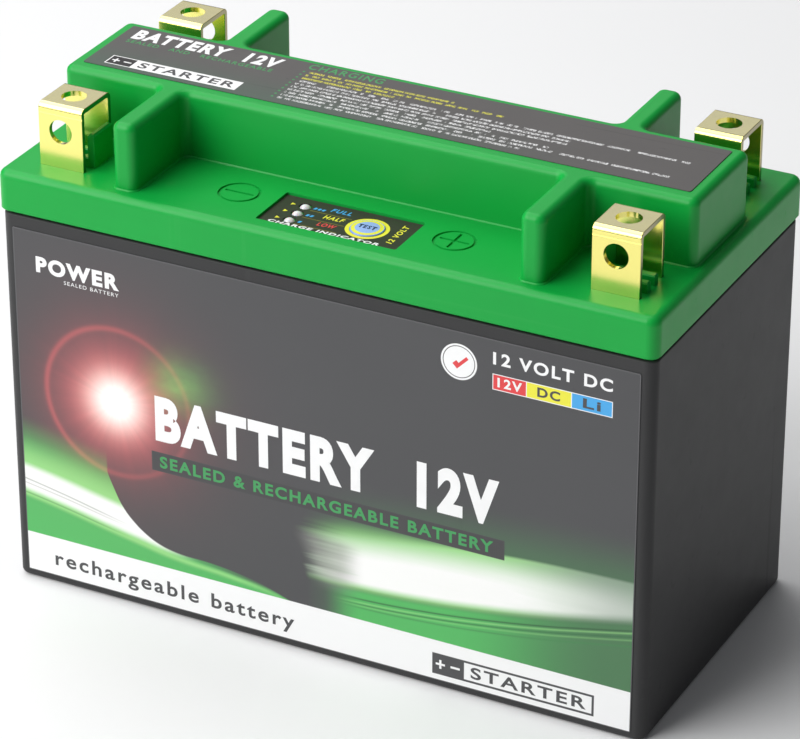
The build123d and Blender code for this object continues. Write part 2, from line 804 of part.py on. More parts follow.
def make_lug_screws():
    screws = []
    low = PLATE_TOP - PLATE_THICKNESS - LUG_THICKNESS
    for side in (-1, 1):
        x = side * TERMINAL_X
        head = disc(x, 0, PLATE_TOP, PLATE_TOP + 2.6, 7.0)
        head = fillet(head.faces().sort_by(Axis.Z)[-1].edges(), 0.8)
        cross = Pos(x, 0, PLATE_TOP + 2.6) * (Box(4, 0.9, 2.6) + Box(0.9, 4, 2.6))
        shank = disc(x, 0, low - 4.2, PLATE_TOP, LUG_SCREW)
        screws.append(head - cross + shank)
    return Compound(children=screws)


def make_lug_nuts():
    nuts = []
    low = PLATE_TOP - PLATE_THICKNESS - LUG_THICKNESS
    for side in (-1, 1):
        hexagon = RegularPolygon(3.5, 6, major_radius=False) - Circle(LUG_SCREW / 2 + 0.05)
        nuts.append(Pos(side * TERMINAL_X, 0, low - 3.2) * extrude(hexagon, 3.2))
    return Compound(children=nuts)


# ---------------------------------------------------------------- packing


def make_foams():
    """Foam blocks that fill the case round the stack."""
    half_x = CASE_LENGTH / 2 - CASE_WALL - FOAM_CLEARANCE
    half_y = CASE_WIDTH / 2 - CASE_WALL - FOAM_CLEARANCE
    stack_x = CELL_LENGTH / 2 + CELL_SIDE_SEAL + 1.0
    stack_y = STACK_WIDTH / 2 + 0.6
    floor = CASE_FLOOR
    side_top = CELL_TOP - 4
    side_span = (CELL_BOTTOM, side_top)
    return {
        "foam_floor": block((-half_x, half_x), (-half_y, half_y), (floor, CELL_BOTTOM)),
        "foam_front": block((-half_x, half_x), (-half_y, -stack_y), side_span),
        "foam_rear": block((-half_x, half_x), (stack_y, half_y), side_span),
        "foam_left": block((-half_x, -stack_x), (-stack_y, stack_y), side_span),
        "foam_right": block((stack_x, half_x), (-stack_y, stack_y), side_span),
    }


def main():
    os.makedirs("parts", exist_ok=True)
    save("case", make_case())
    save("lid", make_lid())
    save("lid_seal", make_lid_seal())
    for corner in CORNERS:
        save("terminal_" + CORNER_NAMES[corner], make_terminal(*corner))
    save("bus_plate_negative", make_bus_plate(-1))
    save("bus_plate_positive", make_bus_plate(1))
    save("bus_rivets", make_bus_rivets())
    save("front_label", make_front_label())
    save("top_label", make_top_label())

    save("indicator_panel", make_indicator_panel())
    for name, step in LED_NAMES.items():
        save(name, make_led(step))
    save("test_button", make_test_button())
    save("switch_body", make_switch_body())
    save("switch_plunger", make_switch_plunger())
    save("indicator_board", make_indicator_board())
    save("board_screws", make_board_screws())
    save("indicator_connector", make_socket(0, INDICATOR_Y, PLUG_LOW, BOARD_TOP - BOARD_THICKNESS, False))

    for index, y in enumerate(CELL_YS):
        save(f"cell_{index + 1}", make_cell(y))
    save("cell_tabs_positive", make_cell_tabs(True))
    save("cell_tabs_negative", make_cell_tabs(False))
    save("cell_spacers", make_cell_spacers())
    save("pack_bands", make_pack_bands())
    tray_top = CELL_TOP + TRAY_THICKNESS
    save("tab_tray", make_plate_with_tab_slots(146, 49, CELL_TOP, tray_top, 0.3))
    save("tab_board", make_plate_with_tab_slots(140, 47, tray_top, TAB_BOARD_TOP, 0.2))
    save("link_bars", make_link_bars())
    save("pack_bar_negative", make_pack_bar(0))
    save("pack_bar_positive", make_pack_bar(3))
    save("balance_chips", make_balance_chips())
    save("balance_resistors", make_balance_resistors())
    save("board_connector", make_socket(SOCKET_X, SOCKET_Y, TAB_BOARD_TOP, SOCKET_TOP, True))

    save("lead_negative", make_tube(LEAD_NEGATIVE, LEAD_DIAMETER))
    save("lead_positive", make_tube(LEAD_POSITIVE, LEAD_DIAMETER))
    save("indicator_cable", make_tube(INDICATOR_CABLE, CABLE_DIAMETER))
    save("lug_negative", make_lug(-1))
    save("lug_positive", make_lug(1))
    save("lug_screws", make_lug_screws())
    save("lug_nuts", make_lug_nuts())
    for name, foam in make_foams().items():
        save(name, foam)


if __name__ == "__main__":
    main()
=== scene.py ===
import json
import math

import bmesh
import bpy
from mathutils import Matrix, Vector


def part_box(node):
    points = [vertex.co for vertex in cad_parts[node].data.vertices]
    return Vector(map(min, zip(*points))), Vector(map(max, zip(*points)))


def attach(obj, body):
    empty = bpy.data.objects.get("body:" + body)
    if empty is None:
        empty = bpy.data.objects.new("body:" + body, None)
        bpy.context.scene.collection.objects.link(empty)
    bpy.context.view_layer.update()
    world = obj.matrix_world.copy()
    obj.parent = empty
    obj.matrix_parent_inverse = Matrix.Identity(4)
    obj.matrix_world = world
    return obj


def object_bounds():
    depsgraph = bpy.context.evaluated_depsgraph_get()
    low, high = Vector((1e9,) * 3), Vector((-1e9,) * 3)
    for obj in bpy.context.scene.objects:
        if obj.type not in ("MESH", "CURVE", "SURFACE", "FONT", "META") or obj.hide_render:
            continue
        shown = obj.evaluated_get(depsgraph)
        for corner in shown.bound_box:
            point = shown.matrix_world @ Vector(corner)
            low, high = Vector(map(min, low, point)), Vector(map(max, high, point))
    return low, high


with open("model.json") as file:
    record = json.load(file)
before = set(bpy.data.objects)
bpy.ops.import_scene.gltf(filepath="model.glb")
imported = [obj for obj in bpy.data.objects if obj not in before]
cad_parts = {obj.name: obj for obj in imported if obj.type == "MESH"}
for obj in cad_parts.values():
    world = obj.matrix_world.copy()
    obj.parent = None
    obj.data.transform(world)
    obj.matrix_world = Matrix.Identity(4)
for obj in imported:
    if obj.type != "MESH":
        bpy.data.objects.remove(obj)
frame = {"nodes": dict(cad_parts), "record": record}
cad_low, cad_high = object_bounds()
nodes = frame["nodes"]

# ---------------------------------------------------------------- sizes, in metres
# Each face and piece is found in the frame, so the printing stays on it.
MM = 0.001
FRONT_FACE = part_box("front_label")[0].y
LABEL_LOW, LABEL_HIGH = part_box("front_label")
TOP_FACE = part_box("top_label")[1].z
PANEL_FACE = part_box("indicator_panel")[1].z
BUTTON_LOW, BUTTON_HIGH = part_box("test_button")
BUTTON_CENTRE = (BUTTON_LOW + BUTTON_HIGH) / 2
INK = 0.03 * MM
STRAP_LOW, STRAP_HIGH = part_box("terminal_front_right")
STRAP_MIDDLE = (STRAP_LOW.x + STRAP_HIGH.x) / 2 / MM
STRAP_SIDE = (STRAP_HIGH.x - STRAP_LOW.x) / 2 / MM - 0.1
FLOOR_GAP = 0.05 * MM
LETTER_SPACING = 1.22
CURVE_REACH = 100.0

# The camera stands where the photograph was taken from.
AZIMUTH = math.radians(27.124)
ELEVATION = math.radians(28.071)
CAMERA_DISTANCE = 1.01775
CAMERA_TARGET = Vector((0.0001, 0.0001, 0.05935))
CAMERA_LENS = 184.87


# ---------------------------------------------------------------- colours, as linear light
def scaled(colour, factor):
    return (*(channel * factor for channel in colour[:3]), 1.0)


def lifted(colour, add=0.0, factor=1.0):
    """The colour made paler, with no channel past 1."""
    return (*(min(1.0, channel * factor + add) for channel in colour[:3]), 1.0)


WHITE = (0.93, 0.93, 0.93, 1.0)
LID_GREEN = (0.003, 0.37, 0.050, 1.0)
CASE_BLACK = (0.050, 0.050, 0.051, 1.0)
CHIP_BLACK = (0.016, 0.016, 0.017, 1.0)
LABEL_GREY = (0.072, 0.072, 0.076, 1.0)
LABEL_DARK = (0.032, 0.030, 0.031, 1.0)
ART_GREEN = (0.088, 0.47, 0.12, 1.0)
ART_PALE_GREEN = (0.32, 0.70, 0.24, 1.0)
ART_DEEP_GREEN = (0.075, 0.22, 0.09, 1.0)
ART_WHITE = (0.96, 0.96, 0.94, 1.0)
GLOW_RED = (0.92, 0.085, 0.105, 1.0)
PRINT_GREEN = (0.060, 0.34, 0.11, 1.0)
PRINT_YELLOW = (0.86, 0.82, 0.06, 1.0)
PRINT_BLUE = (0.07, 0.40, 0.80, 1.0)
PRINT_RED = (0.76, 0.06, 0.065, 1.0)
PRINT_GREY = (0.075, 0.075, 0.078, 1.0)
PRINT_NAVY = (0.015, 0.03, 0.10, 1.0)
GLOW_WARM = (0.80, 0.60, 0.45, 1.0)
GLOW_WHITE = (1.0, 1.0, 0.93, 1.0)
RING_RED = (0.50, 0.05, 0.05, 1.0)
HAZE_GREEN = (0.13, 0.46, 0.13, 1.0)
STREAK_DUSK = (0.30, 0.40, 0.30, 1.0)
SMEAR_GREY = (0.34, 0.34, 0.32, 1.0)
# Painted highlight for the front film's edge.
FILM_EDGE_HIGHLIGHT = (0.11, 0.11, 0.115, 1.0)
TOP_GREY = (0.104, 0.098, 0.096, 1.0)
TOP_SHADE = (0.05, 0.15, 0.09, 1.0)
PANEL_DARK = (0.030, 0.024, 0.020, 1.0)
PANEL_PALE = (0.050, 0.042, 0.036, 1.0)
PANEL_RULE = (0.30, 0.24, 0.03, 1.0)
CAP_BLUE = (0.20, 0.34, 0.82, 1.0)
CAP_PALE_BLUE = (0.28, 0.42, 0.90, 1.0)
CAP_MIDDLE = (0.33, 0.47, 0.88, 1.0)
# Painted shade for the button cap's rounded edge.
CAP_EDGE_SHADE = (0.10, 0.20, 0.60, 1.0)
BRASS = (0.95, 0.87, 0.27, 1.0)
BRASS_STAIN = (0.30, 0.22, 0.05, 1.0)
# Painted reflection for the tops of the brass straps.
BRASS_TOP_REFLECTION = (0.74, 0.68, 0.42, 1.0)
BRASS_SHEARED = (0.30, 0.27, 0.20, 1.0)
FOIL_DARK = (0.58, 0.59, 0.61, 1.0)
FOIL_PALE = (0.76, 0.77, 0.79, 1.0)
TAPE_DARK = (0.62, 0.52, 0.24, 1.0)
TAPE_PALE = (0.84, 0.78, 0.55, 1.0)
TAPE_STAIN = (0.5, 0.42, 0.2, 1.0)
BOARD_DARK = (0.010, 0.13, 0.045, 1.0)
BOARD_GREEN = (0.016, 0.18, 0.07, 1.0)
BOARD_TRACK = (0.03, 0.30, 0.11, 1.0)
BOARD_PAD = (0.70, 0.62, 0.40, 1.0)
DUST = (0.35, 0.33, 0.30, 1.0)
LENS_DARK = (0.72, 0.70, 0.72, 1.0)
LENS_PALE = (0.88, 0.87, 0.88, 1.0)
LENS_CLOUD = (0.60, 0.58, 0.60, 1.0)
CHIP_INK = (0.35, 0.35, 0.35, 1.0)
RESISTOR_BLACK = (0.02, 0.02, 0.022, 1.0)
RESISTOR_END = (0.62, 0.62, 0.62, 1.0)


# ---------------------------------------------------------------- node helpers
class Field:
    """A value that varies over a surface, with ordinary arithmetic on it."""

    def __init__(self, surface, socket):
        self.surface = surface
        self.socket = socket

    def __add__(self, other):
        return self.surface.maths("ADD", self, other)

    def __sub__(self, other):
        return self.surface.maths("SUBTRACT", self, other)

    def __mul__(self, other):
        return self.surface.maths("MULTIPLY", self, other)

    def __truediv__(self, other):
        return self.surface.maths("DIVIDE", self, other)

    def __rsub__(self, other):
        return self.surface.maths("SUBTRACT", other, self)

    __radd__ = __add__
    __rmul__ = __mul__


class Surface:
    """One procedural material. Its positions are in millimetres, in the part's own frame."""

    def __init__(self, name, roughness=0.5, metallic=0.0, specular=0.5, coat=0.0):
        self.material = bpy.data.materials.new(name)
        self.material.use_nodes = True
        self.tree = self.material.node_tree
        self.shader = self.tree.nodes["Principled BSDF"]
        self.shader.inputs["Roughness"].default_value = roughness
        self.shader.inputs["Metallic"].default_value = metallic
        self.shader.inputs["Specular IOR Level"].default_value = specular
        self.shader.inputs["Coat Weight"].default_value = coat
        self.shader.inputs["Coat Roughness"].default_value = 0.12
        coordinates = self.node("TexCoord")
        self.place = self.vector("SCALE", coordinates.outputs["Object"], scale=1 / MM)
        parts = self.node("SeparateXYZ")
        self.feed(parts.inputs[0], self.place)
        self.x, self.y, self.z = (Field(self, socket) for socket in parts.outputs)

    def node(self, kind, **settings):
        """A new shader node of that kind, with those settings."""
        made = self.tree.nodes.new("ShaderNode" + kind)
        for name, value in settings.items():
            setattr(made, name, value)
        return made

    def feed(self, socket, value):
        """Link a varying value to a socket, or set a plain one on it."""
        if isinstance(value, Field):
            value = value.socket
        if isinstance(value, bpy.types.NodeSocket):
            self.tree.links.new(value, socket)
        else:
            socket.default_value = value

    def vector(self, operation, *values, scale=None):
        made = self.node("VectorMath", operation=operation)
        for socket, value in zip(made.inputs, values):
            self.feed(socket, value)
        if scale is not None:
            made.inputs["Scale"].default_value = scale
        return made.outputs[0]

    def maths(self, operation, *values):
        made = self.node("Math", operation=operation)
        for socket, value in zip(made.inputs, values):
            self.feed(socket, value)
        return Field(self, made.outputs[0])

    def at(self, x, y, z=0.0):
        """A position put together from three values."""
        made = self.node("CombineXYZ")
        for socket, value in zip(made.inputs, (x, y, z)):
            self.feed(socket, value)
        return made.outputs[0]

    def noise(self, size, detail=2.0, stretch=None, place=None, roughness=0.5):
        """Soft noise from 0 to 1, whose patches are about size millimetres across."""
        place = place or self.place
        if stretch:
            place = self.vector("MULTIPLY", place, stretch)
        made = self.node("TexNoise")
        self.feed(made.inputs["Vector"], place)
        made.inputs["Scale"].default_value = 1 / size
        made.inputs["Detail"].default_value = detail
        made.inputs["Roughness"].default_value = roughness
        return Field(self, made.outputs[0])

    def cells(self, size, feature="F1", stretch=None):
        """Distance to the nearest of many scattered points, size millimetres apart."""
        place = self.vector("MULTIPLY", self.place, stretch) if stretch else self.place
        made = self.node("TexVoronoi", feature=feature)
        self.feed(made.inputs["Vector"], place)
        made.inputs["Scale"].default_value = 1 / size
        return Field(self, made.outputs["Distance"])

    def ramp(self, value, low, high, start=0.0, end=1.0):
        """Rises smoothly from start to end as value goes from low to high."""
        made = self.node("MapRange", interpolation_type="SMOOTHSTEP")
        for socket, number in zip(made.inputs, (value, low, high, start, end)):
            self.feed(socket, number)
        return Field(self, made.outputs[0])

    def above(self, value, edge, soft=0.08):
        """1 where value is past the edge, with a soft step that wide."""
        return self.ramp(value, edge - soft / 2, edge + soft / 2)

    def below(self, value, edge, soft=0.08):
        return self.ramp(value, edge - soft / 2, edge + soft / 2, 1.0, 0.0)

    def band(self, value, low, high, soft=0.08):
        """1 where value is between low and high."""
        return self.above(value, low, soft) * self.below(value, high, soft)

    def panel(self, across, up, left, right, low, high, soft=0.08):
        """1 inside a rectangle."""
        return self.band(across, left, right, soft) * self.band(up, low, high, soft)

    def distance(self, across, up, centre_across, centre_up):
        side = across - centre_across
        rise = up - centre_up
        return self.maths("SQRT", side * side + rise * rise)

    def profile(self, across, points):
        """A smooth line through points, given as pairs of across and the height there."""
        made = self.node("FloatCurve")
        low, span = -CURVE_REACH, 2 * CURVE_REACH
        line = made.mapping.curves[0].points
        for number, (place, level) in enumerate(points):
            spot = ((place - low) / span, (level - low) / span)
            if number < 2:
                line[number].location = spot
            else:
                line.new(*spot)
        made.mapping.update()
        self.feed(made.inputs["Value"], (across - low) / span)
        return Field(self, made.outputs[0]) * span + low

    def glow(self, distance, radius):
        """1 at the centre, fading away over about the radius."""
        share = distance / radius
        return self.maths("EXPONENT", share * share * -1.0)

    def mix(self, base, colour, share, blend="MIX"):
        """The base with that share of the colour over it; inputs 6 and 7 are the node's colours."""
        made = self.node("Mix", data_type="RGBA", blend_type=blend)
        self.feed(made.inputs[0], share)
        self.feed(made.inputs[6], base)
        self.feed(made.inputs[7], colour)
        return made.outputs[2]

    def add_light(self, base, colour, share):
        return self.mix(base, colour, share, "SCREEN")

    def edge(self, radius):
        """Near 1 within about radius millimetres of a sharp edge, and 0 on flat stretches."""
        rounded = self.node("Bevel", samples=4)
        rounded.inputs["Radius"].default_value = radius * MM
        flat = self.node("NewGeometry")
        turn = self.node("VectorMath", operation="DOT_PRODUCT")
        self.feed(turn.inputs[0], rounded.outputs[0])
        self.feed(turn.inputs[1], flat.outputs["Normal"])
        return self.ramp(Field(self, turn.outputs["Value"]), 0.93, 0.999, 1.0, 0.0)

    def bump(self, height, depth):
        """Relief of that depth in millimetres where height is 1."""
        made = self.node("Bump")
        made.inputs["Distance"].default_value = depth * MM
        self.feed(made.inputs["Height"], height)
        if self.shader.inputs["Normal"].links:
            self.feed(made.inputs["Normal"], self.shader.inputs["Normal"].links[0].from_socket)
        self.feed(self.shader.inputs["Normal"], made.outputs[0])

    def set(self, name, value):
        """Feed one of the shader's own sockets, by its name."""
        self.feed(self.shader.inputs[name], value)

    def paint(self, colour):
        self.feed(self.shader.inputs["Base Color"], colour)

    def scratches(self, size, share):
        """Fine hairlines in two directions, on about that share of the surface."""
        first = self.above(self.noise(size, 3, (0.05, 2.6, 2.6)), 1 - share, 0.03)
        second = self.above(self.noise(size * 1.3, 3, (2.2, 2.2, 0.06)), 1 - share, 0.03)
        return self.maths("MAXIMUM", first, second)


# ---------------------------------------------------------------- the labels' layout, in millimetres
STRIP_TOP = 13.5
GLOW_X, GLOW_Z, RING_RADIUS = -56.0, 57.0, 20.2
BADGE_X, BADGE_Z = 37.6, 91.0
# Lines of the front label's picture, as pairs of x and height (HILL_RIGHT: height and x).
LEFT_STREAK_FOOT = ((-86, 25.6), (-72, 23.4), (-61, 21.3), (-50, 19.3), (-40, 17.6), (-25, 16.4),
                    (-12, 14.6), (-5, 12.5))
RIGHT_STREAK_FOOT = ((-10, 21.0), (10, 21.0), (30, 22.4), (45, 24.3), (60, 26.8), (72, 29.3), (86, 32.4))
RIGHT_STREAK_HEAD = ((-10, 35.5), (10, 38.0), (30, 40.2), (45, 41.6), (60, 42.7), (72, 43.2), (86, 43.6))
HILL_FLANK = ((-60, 38.5), (-57.5, 32.4), (-55, 27.6), (-52, 24.2), (-49, 21.8), (-45, 19.7),
              (-40, 18.5), (-30, 18.1), (-22, 17.2), (-15, 15.8), (-9, 13.8), (-4, 12.0))
HILL_RIGHT = ((10, -3.5), (20, -2.8), (25, -4.0), (30, -6.0), (34, -7.6), (38, -4.5), (42, -1.5), (46, 0.0))
# Thin lines along a streak's foot: how far below it, how fast they spread, colour and strength.
RIGHT_THREADS = ((1.3, 0.006, (0.03, 0.10, 0.04, 1), 0.75), (2.0, 0.010, ART_PALE_GREEN, 0.5),
                 (3.0, 0.004, (0.04, 0.16, 0.06, 1), 0.7), (5.6, -0.020, (0.06, 0.24, 0.08, 1), 0.6),
                 (3.9, -0.004, ART_PALE_GREEN, 0.3))
LEFT_THREADS = ((-3.6, 0.02, (0.22, 0.24, 0.22, 1), 0.6), (-2.4, 0.0, (0.30, 0.30, 0.28, 1), 0.45),
                (0.4, 0.0, (0.10, 0.30, 0.12, 1), 0.6))
THREADS_END = 83
# Rectangles as left, right, low and high. Pole signs as plus, minus, middle and arm.
LINE_BAND = (-46.3, 50.0, 40.7, 46.1)
LINE_BAND_INSIDE = (-46.1, 49.8, 40.9, 45.9)
RATING_BOXES = ((46.3, 55.1, PRINT_RED), (54.9, 66.6, PRINT_YELLOW), (66.4, 76.9, PRINT_BLUE))
RATING_LOW, RATING_HIGH, RATING_EDGE = 85.9, 90.1, 0.2
FOOT_BOX = (31.0, 74.1, 4.0, 9.9)
FOOT_BOX_INSIDE = (39.6, 73.5, 4.6, 9.3)
FOOT_POLES = (33.2, 37.2, 6.95, 1.25)
TOP_BOX = (-76.2, -39.7, -10.1, -5.2)
TOP_BOX_BLOCK = (-75.9, -69.2, -9.8, -5.5)
TOP_POLES = (-74.2, -70.9, -7.65, 1.05)
BADGE_RADIUS, BADGE_LINE = 4.7, (4.0, 4.2)
FILM_INSET = 0.25
# The indicator: rows of the lamps, and circles round the button's middle.
PANEL_ROWS = (-34.4, -30.4, -26.4)
BUTTON_SEAT, CAP_RING, CAP_RING_INSIDE = 5.35, (3.0, 3.95), 2.95
LAMP_X, LAMP_OFFSET, LAMP_HALF_PITCH = -11.6, 0.4, 2.0
# The small print on the top label.
PRINT_LEFT, PRINT_TOP, PRINT_DOTS = -28.5, 8.2, -29.9
PRINT_PITCH = 1.8
PRINT_REACHES = (11, 25, -2, 75, 45, 45, 26, 42, 74, 36)


# ---------------------------------------------------------------- plastics
def moulded(name, colour, roughness, grain, depth, specular=0.5, edge_wear_and_highlight=0.25):
    """Moulded plastic: fine grain, slightly uneven colour, hairlines, and edges rubbed smooth and made
    paler, partly as wear and partly as a painted highlight.
    """
    s = Surface(name, specular=specular)
    cloud = s.noise(28, 3)
    rubbed_and_highlit_edges = s.edge(0.5) * s.ramp(s.noise(5, 2), 0.35, 0.7)
    tone = s.mix(scaled(colour, 0.92), scaled(colour, 1.08), cloud)
    pale = lifted(colour, add=0.05)
    # Paler edges: partly rubbed wear, partly a painted edge highlight.
    tone = s.mix(tone, pale, rubbed_and_highlit_edges * edge_wear_and_highlight)
    lines = s.scratches(9, 0.29)
    tone = s.mix(tone, pale, lines * 0.10)
    s.paint(tone)
    grain_height = s.noise(grain, 2, roughness=0.6)
    s.set("Roughness", s.noise(6, 2) * 0.10 + (roughness - 0.05) + rubbed_and_highlit_edges * -0.10 + lines * 0.08)
    s.bump(grain_height, depth)
    s.bump(s.noise(14, 1), 0.02)
    return s


def case_plastic():
    return moulded("case_plastic", CASE_BLACK, 0.40, 0.45, 0.012, specular=0.13, edge_wear_and_highlight=0.3).material


def lid_plastic():
    return moulded("lid_plastic", LID_GREEN, 0.37, 0.55, 0.008, specular=0.31, edge_wear_and_highlight=0.18).material


def plain_plastic(name, colour, roughness=0.45):
    return moulded(name, colour, roughness, 0.35, 0.010, edge_wear_and_highlight=0.15).material


# ---------------------------------------------------------------- printed films
def print_rows(s, across, up, left, top, pitch, reaches, letter):
    """Rows of small print up to each reach, as marks too fine to read: the ink, and the row's number."""
    down = (top - up) / pitch
    row = s.maths("FLOOR", down)
    line = s.band(down - row, 0.22, 0.76, 0.12)
    inside = 0.0
    for number, reach in enumerate(reaches):
        inside = inside + s.band(down, number, number + 1, 0.01) * s.band(across, left, reach, 0.2)
    words = s.above(s.noise(letter * 1.7, 1, place=s.at(across, row * 41.0)), 0.42, 0.05)
    strokes = s.above(s.noise(letter * 0.36, 1, place=s.at(across, up * 1.1, row)), 0.49, 0.16)
    return line * words * strokes * inside, row


def pole_signs(s, across, up, plus, minus, middle, arm):
    """A plus sign and a minus sign side by side, with arms of that length."""
    bar = arm * 0.24
    flat = s.panel(across, up, plus - arm, plus + arm, middle - bar, middle + bar)
    upright = s.panel(across, up, plus - bar, plus + bar, middle - arm, middle + arm)
    second = s.panel(across, up, minus - arm, minus + arm, middle - bar, middle + bar)
    return s.maths("MAXIMUM", s.maths("MAXIMUM", flat, upright), second)


def clear_coat(s, gloss=0.30):
    """The film's surface: a faint orange peel, a few handling marks and hairlines."""
    marks = s.scratches(7, 0.285)
    s.set("Roughness", s.noise(12, 3) * 0.12 + (gloss - 0.04) + marks * 0.12)
    s.bump(s.noise(2.2, 2), 0.004)
    s.bump(s.noise(45, 1), 0.05)


def add_swooshes(s, art, x, z):
    """Two white streaks on green: one comes in from the left, the other leaves to the right."""
    grain = s.noise(5, 4, (0.10, 1, 2.2))
    foot = s.profile(x, LEFT_STREAK_FOOT)
    rise = z - foot
    near = s.below(x, -40, 14)
    field = s.below(rise, 16.5, 12) * s.below(x, -28, 40) + s.below(rise, 0.0, 1.5) * s.below(x, -8, 3)
    art = s.mix(art, ART_GREEN, s.maths("MINIMUM", field, 1.0) * (0.82 + s.below(z, 26, 26) * 0.18))
    art = s.mix(art, ART_PALE_GREEN, s.above(rise, -0.8, 3.0) * s.below(rise, 12.0, 9.0) * near * 0.9)
    art = s.mix(art, ART_WHITE, s.band(rise, 0.6, 7.6, 2.4) * near * (0.82 + grain * 0.3))
    art = s.mix(art, ART_PALE_GREEN, s.glow(rise + 0.6, 0.7) * s.below(x, -14, 30) * 0.8)

    head = s.profile(x, RIGHT_STREAK_HEAD)
    foot = s.profile(x, RIGHT_STREAK_FOOT)
    start = s.ramp(x + (s.noise(3, 3, (0.05, 1, 1.6)) - 0.5) * 14, -5, 11)
    fade = s.ramp(x, 46, 88, 1.0, 0.32)
    dusk = s.mix(ART_GREEN, ART_DEEP_GREEN, s.ramp(x, 34, 78))
    art = s.mix(art, ART_DEEP_GREEN, s.below(z - head, 5.0, 17) * s.ramp(x, -6, 14) * 0.62)
    art = s.mix(art, dusk, s.below(z - foot, 0.6, 2.0) * s.ramp(x, 1, 12) * s.ramp(x, 40, 84, 1.0, 0.55))
    body = s.above(z - foot, 1.0, 2.2) * s.below(z - head, 0.0, 1.0 + s.ramp(x, 50, 0, 0.0, 7.0))
    body = body * start
    pale = s.mix(ART_PALE_GREEN, STREAK_DUSK, s.ramp(x, 40, 80))
    art = s.mix(art, pale, body * s.ramp(x, 46, 88, 0.95, 0.75))
    core = s.above(z - foot, 2.2, 2.6) * s.below(z - head, -4.0, 9.0) * start * fade
    return s.mix(art, ART_WHITE, core * (0.90 + grain * 0.25))


def add_threads(s, art, x, z):
    """Thin lines of light and shade that run along under the streaks."""
    foot = s.profile(x, RIGHT_STREAK_FOOT)
    reach = s.ramp(x, 3, 14)
    for drop, spread, colour, strength in RIGHT_THREADS:
        line = s.glow(z - foot + drop + (THREADS_END - x) * spread, 0.26) * reach
        art = s.mix(art, colour, line * strength)
    foot = s.profile(x, LEFT_STREAK_FOOT)
    for drop, spread, colour, strength in LEFT_THREADS:
        line = s.glow(z - foot + drop + (x + THREADS_END) * spread, 0.22) * s.below(x, -58, 14)
        art = s.mix(art, colour, line * strength)
    return art


def add_hill(s, art, x, z):
    """A dark hill that stands on the white strip, between the streaks."""
    flank = s.profile(x, HILL_FLANK)
    right = s.profile(z, HILL_RIGHT)
    side = s.below(x - right, 0.0, 1.6)
    hill = s.above(z - flank, 0.0, 0.5) * side * s.above(x, -59.3, 0.6) * s.below(z, 43.5, 6)
    blur = s.noise(4, 3, (0.15, 1, 1.6))
    smear = s.band(z, 21.5, 34, 6) * s.above(x - right, 3.5, 7) * s.below(x, 9, 8)
    art = s.mix(art, SMEAR_GREY, smear * (0.35 + blur * 0.5))
    return s.mix(art, LABEL_GREY, hill)


def add_glow(s, art, x, z):
    """A red glow with faint rays, a thin ring round it and a white middle."""
    gap = s.distance(x, z, GLOW_X, GLOW_Z)
    angle = s.maths("ARCTAN2", z - GLOW_Z, x - GLOW_X)
    rays = s.noise(0.22, 3, place=s.at(s.maths("COSINE", angle), s.maths("SINE", angle)))
    halo = s.maths("EXPONENT", gap / -6.8) * 2.5 * (0.72 + rays * 0.55)
    art = s.add_light(art, GLOW_RED, s.maths("MINIMUM", halo, 1.0))
    turned = s.ramp(x - z * 0.3, GLOW_X - 40, GLOW_X + 6, 1.0, 0.45)
    ring = s.glow(s.distance(x, z, GLOW_X + 0.4, GLOW_Z) - RING_RADIUS, 0.8) * turned
    art = s.add_light(art, RING_RED, ring * 0.55)
    art = s.add_light(art, GLOW_WARM, s.maths("MINIMUM", s.glow(gap, 7.4), 1.0))
    core = s.glow(gap, 5.8) * (1.1 + rays * 0.7)
    return s.add_light(art, GLOW_WHITE, s.maths("MINIMUM", core, 1.0))


def front_art(s):
    """The front label's picture: streaks of light round a dark hill, and a red glow in a ring."""
    x, z = s.x, s.z
    art = s.mix(scaled(LABEL_GREY, 0.96), scaled(LABEL_GREY, 1.06), s.noise(35, 3))
    haze = s.glow(s.distance(x * 0.8, z, -30.5, 66.0), 6.5) * s.above(x, -50, 9)
    art = s.mix(art, HAZE_GREEN, haze * (0.35 + s.noise(3, 3, (0.6, 1, 1)) * 0.55))
    art = add_swooshes(s, art, x, z)
    art = add_threads(s, art, x, z)
    art = add_hill(s, art, x, z)
    return add_glow(s, art, x, z)


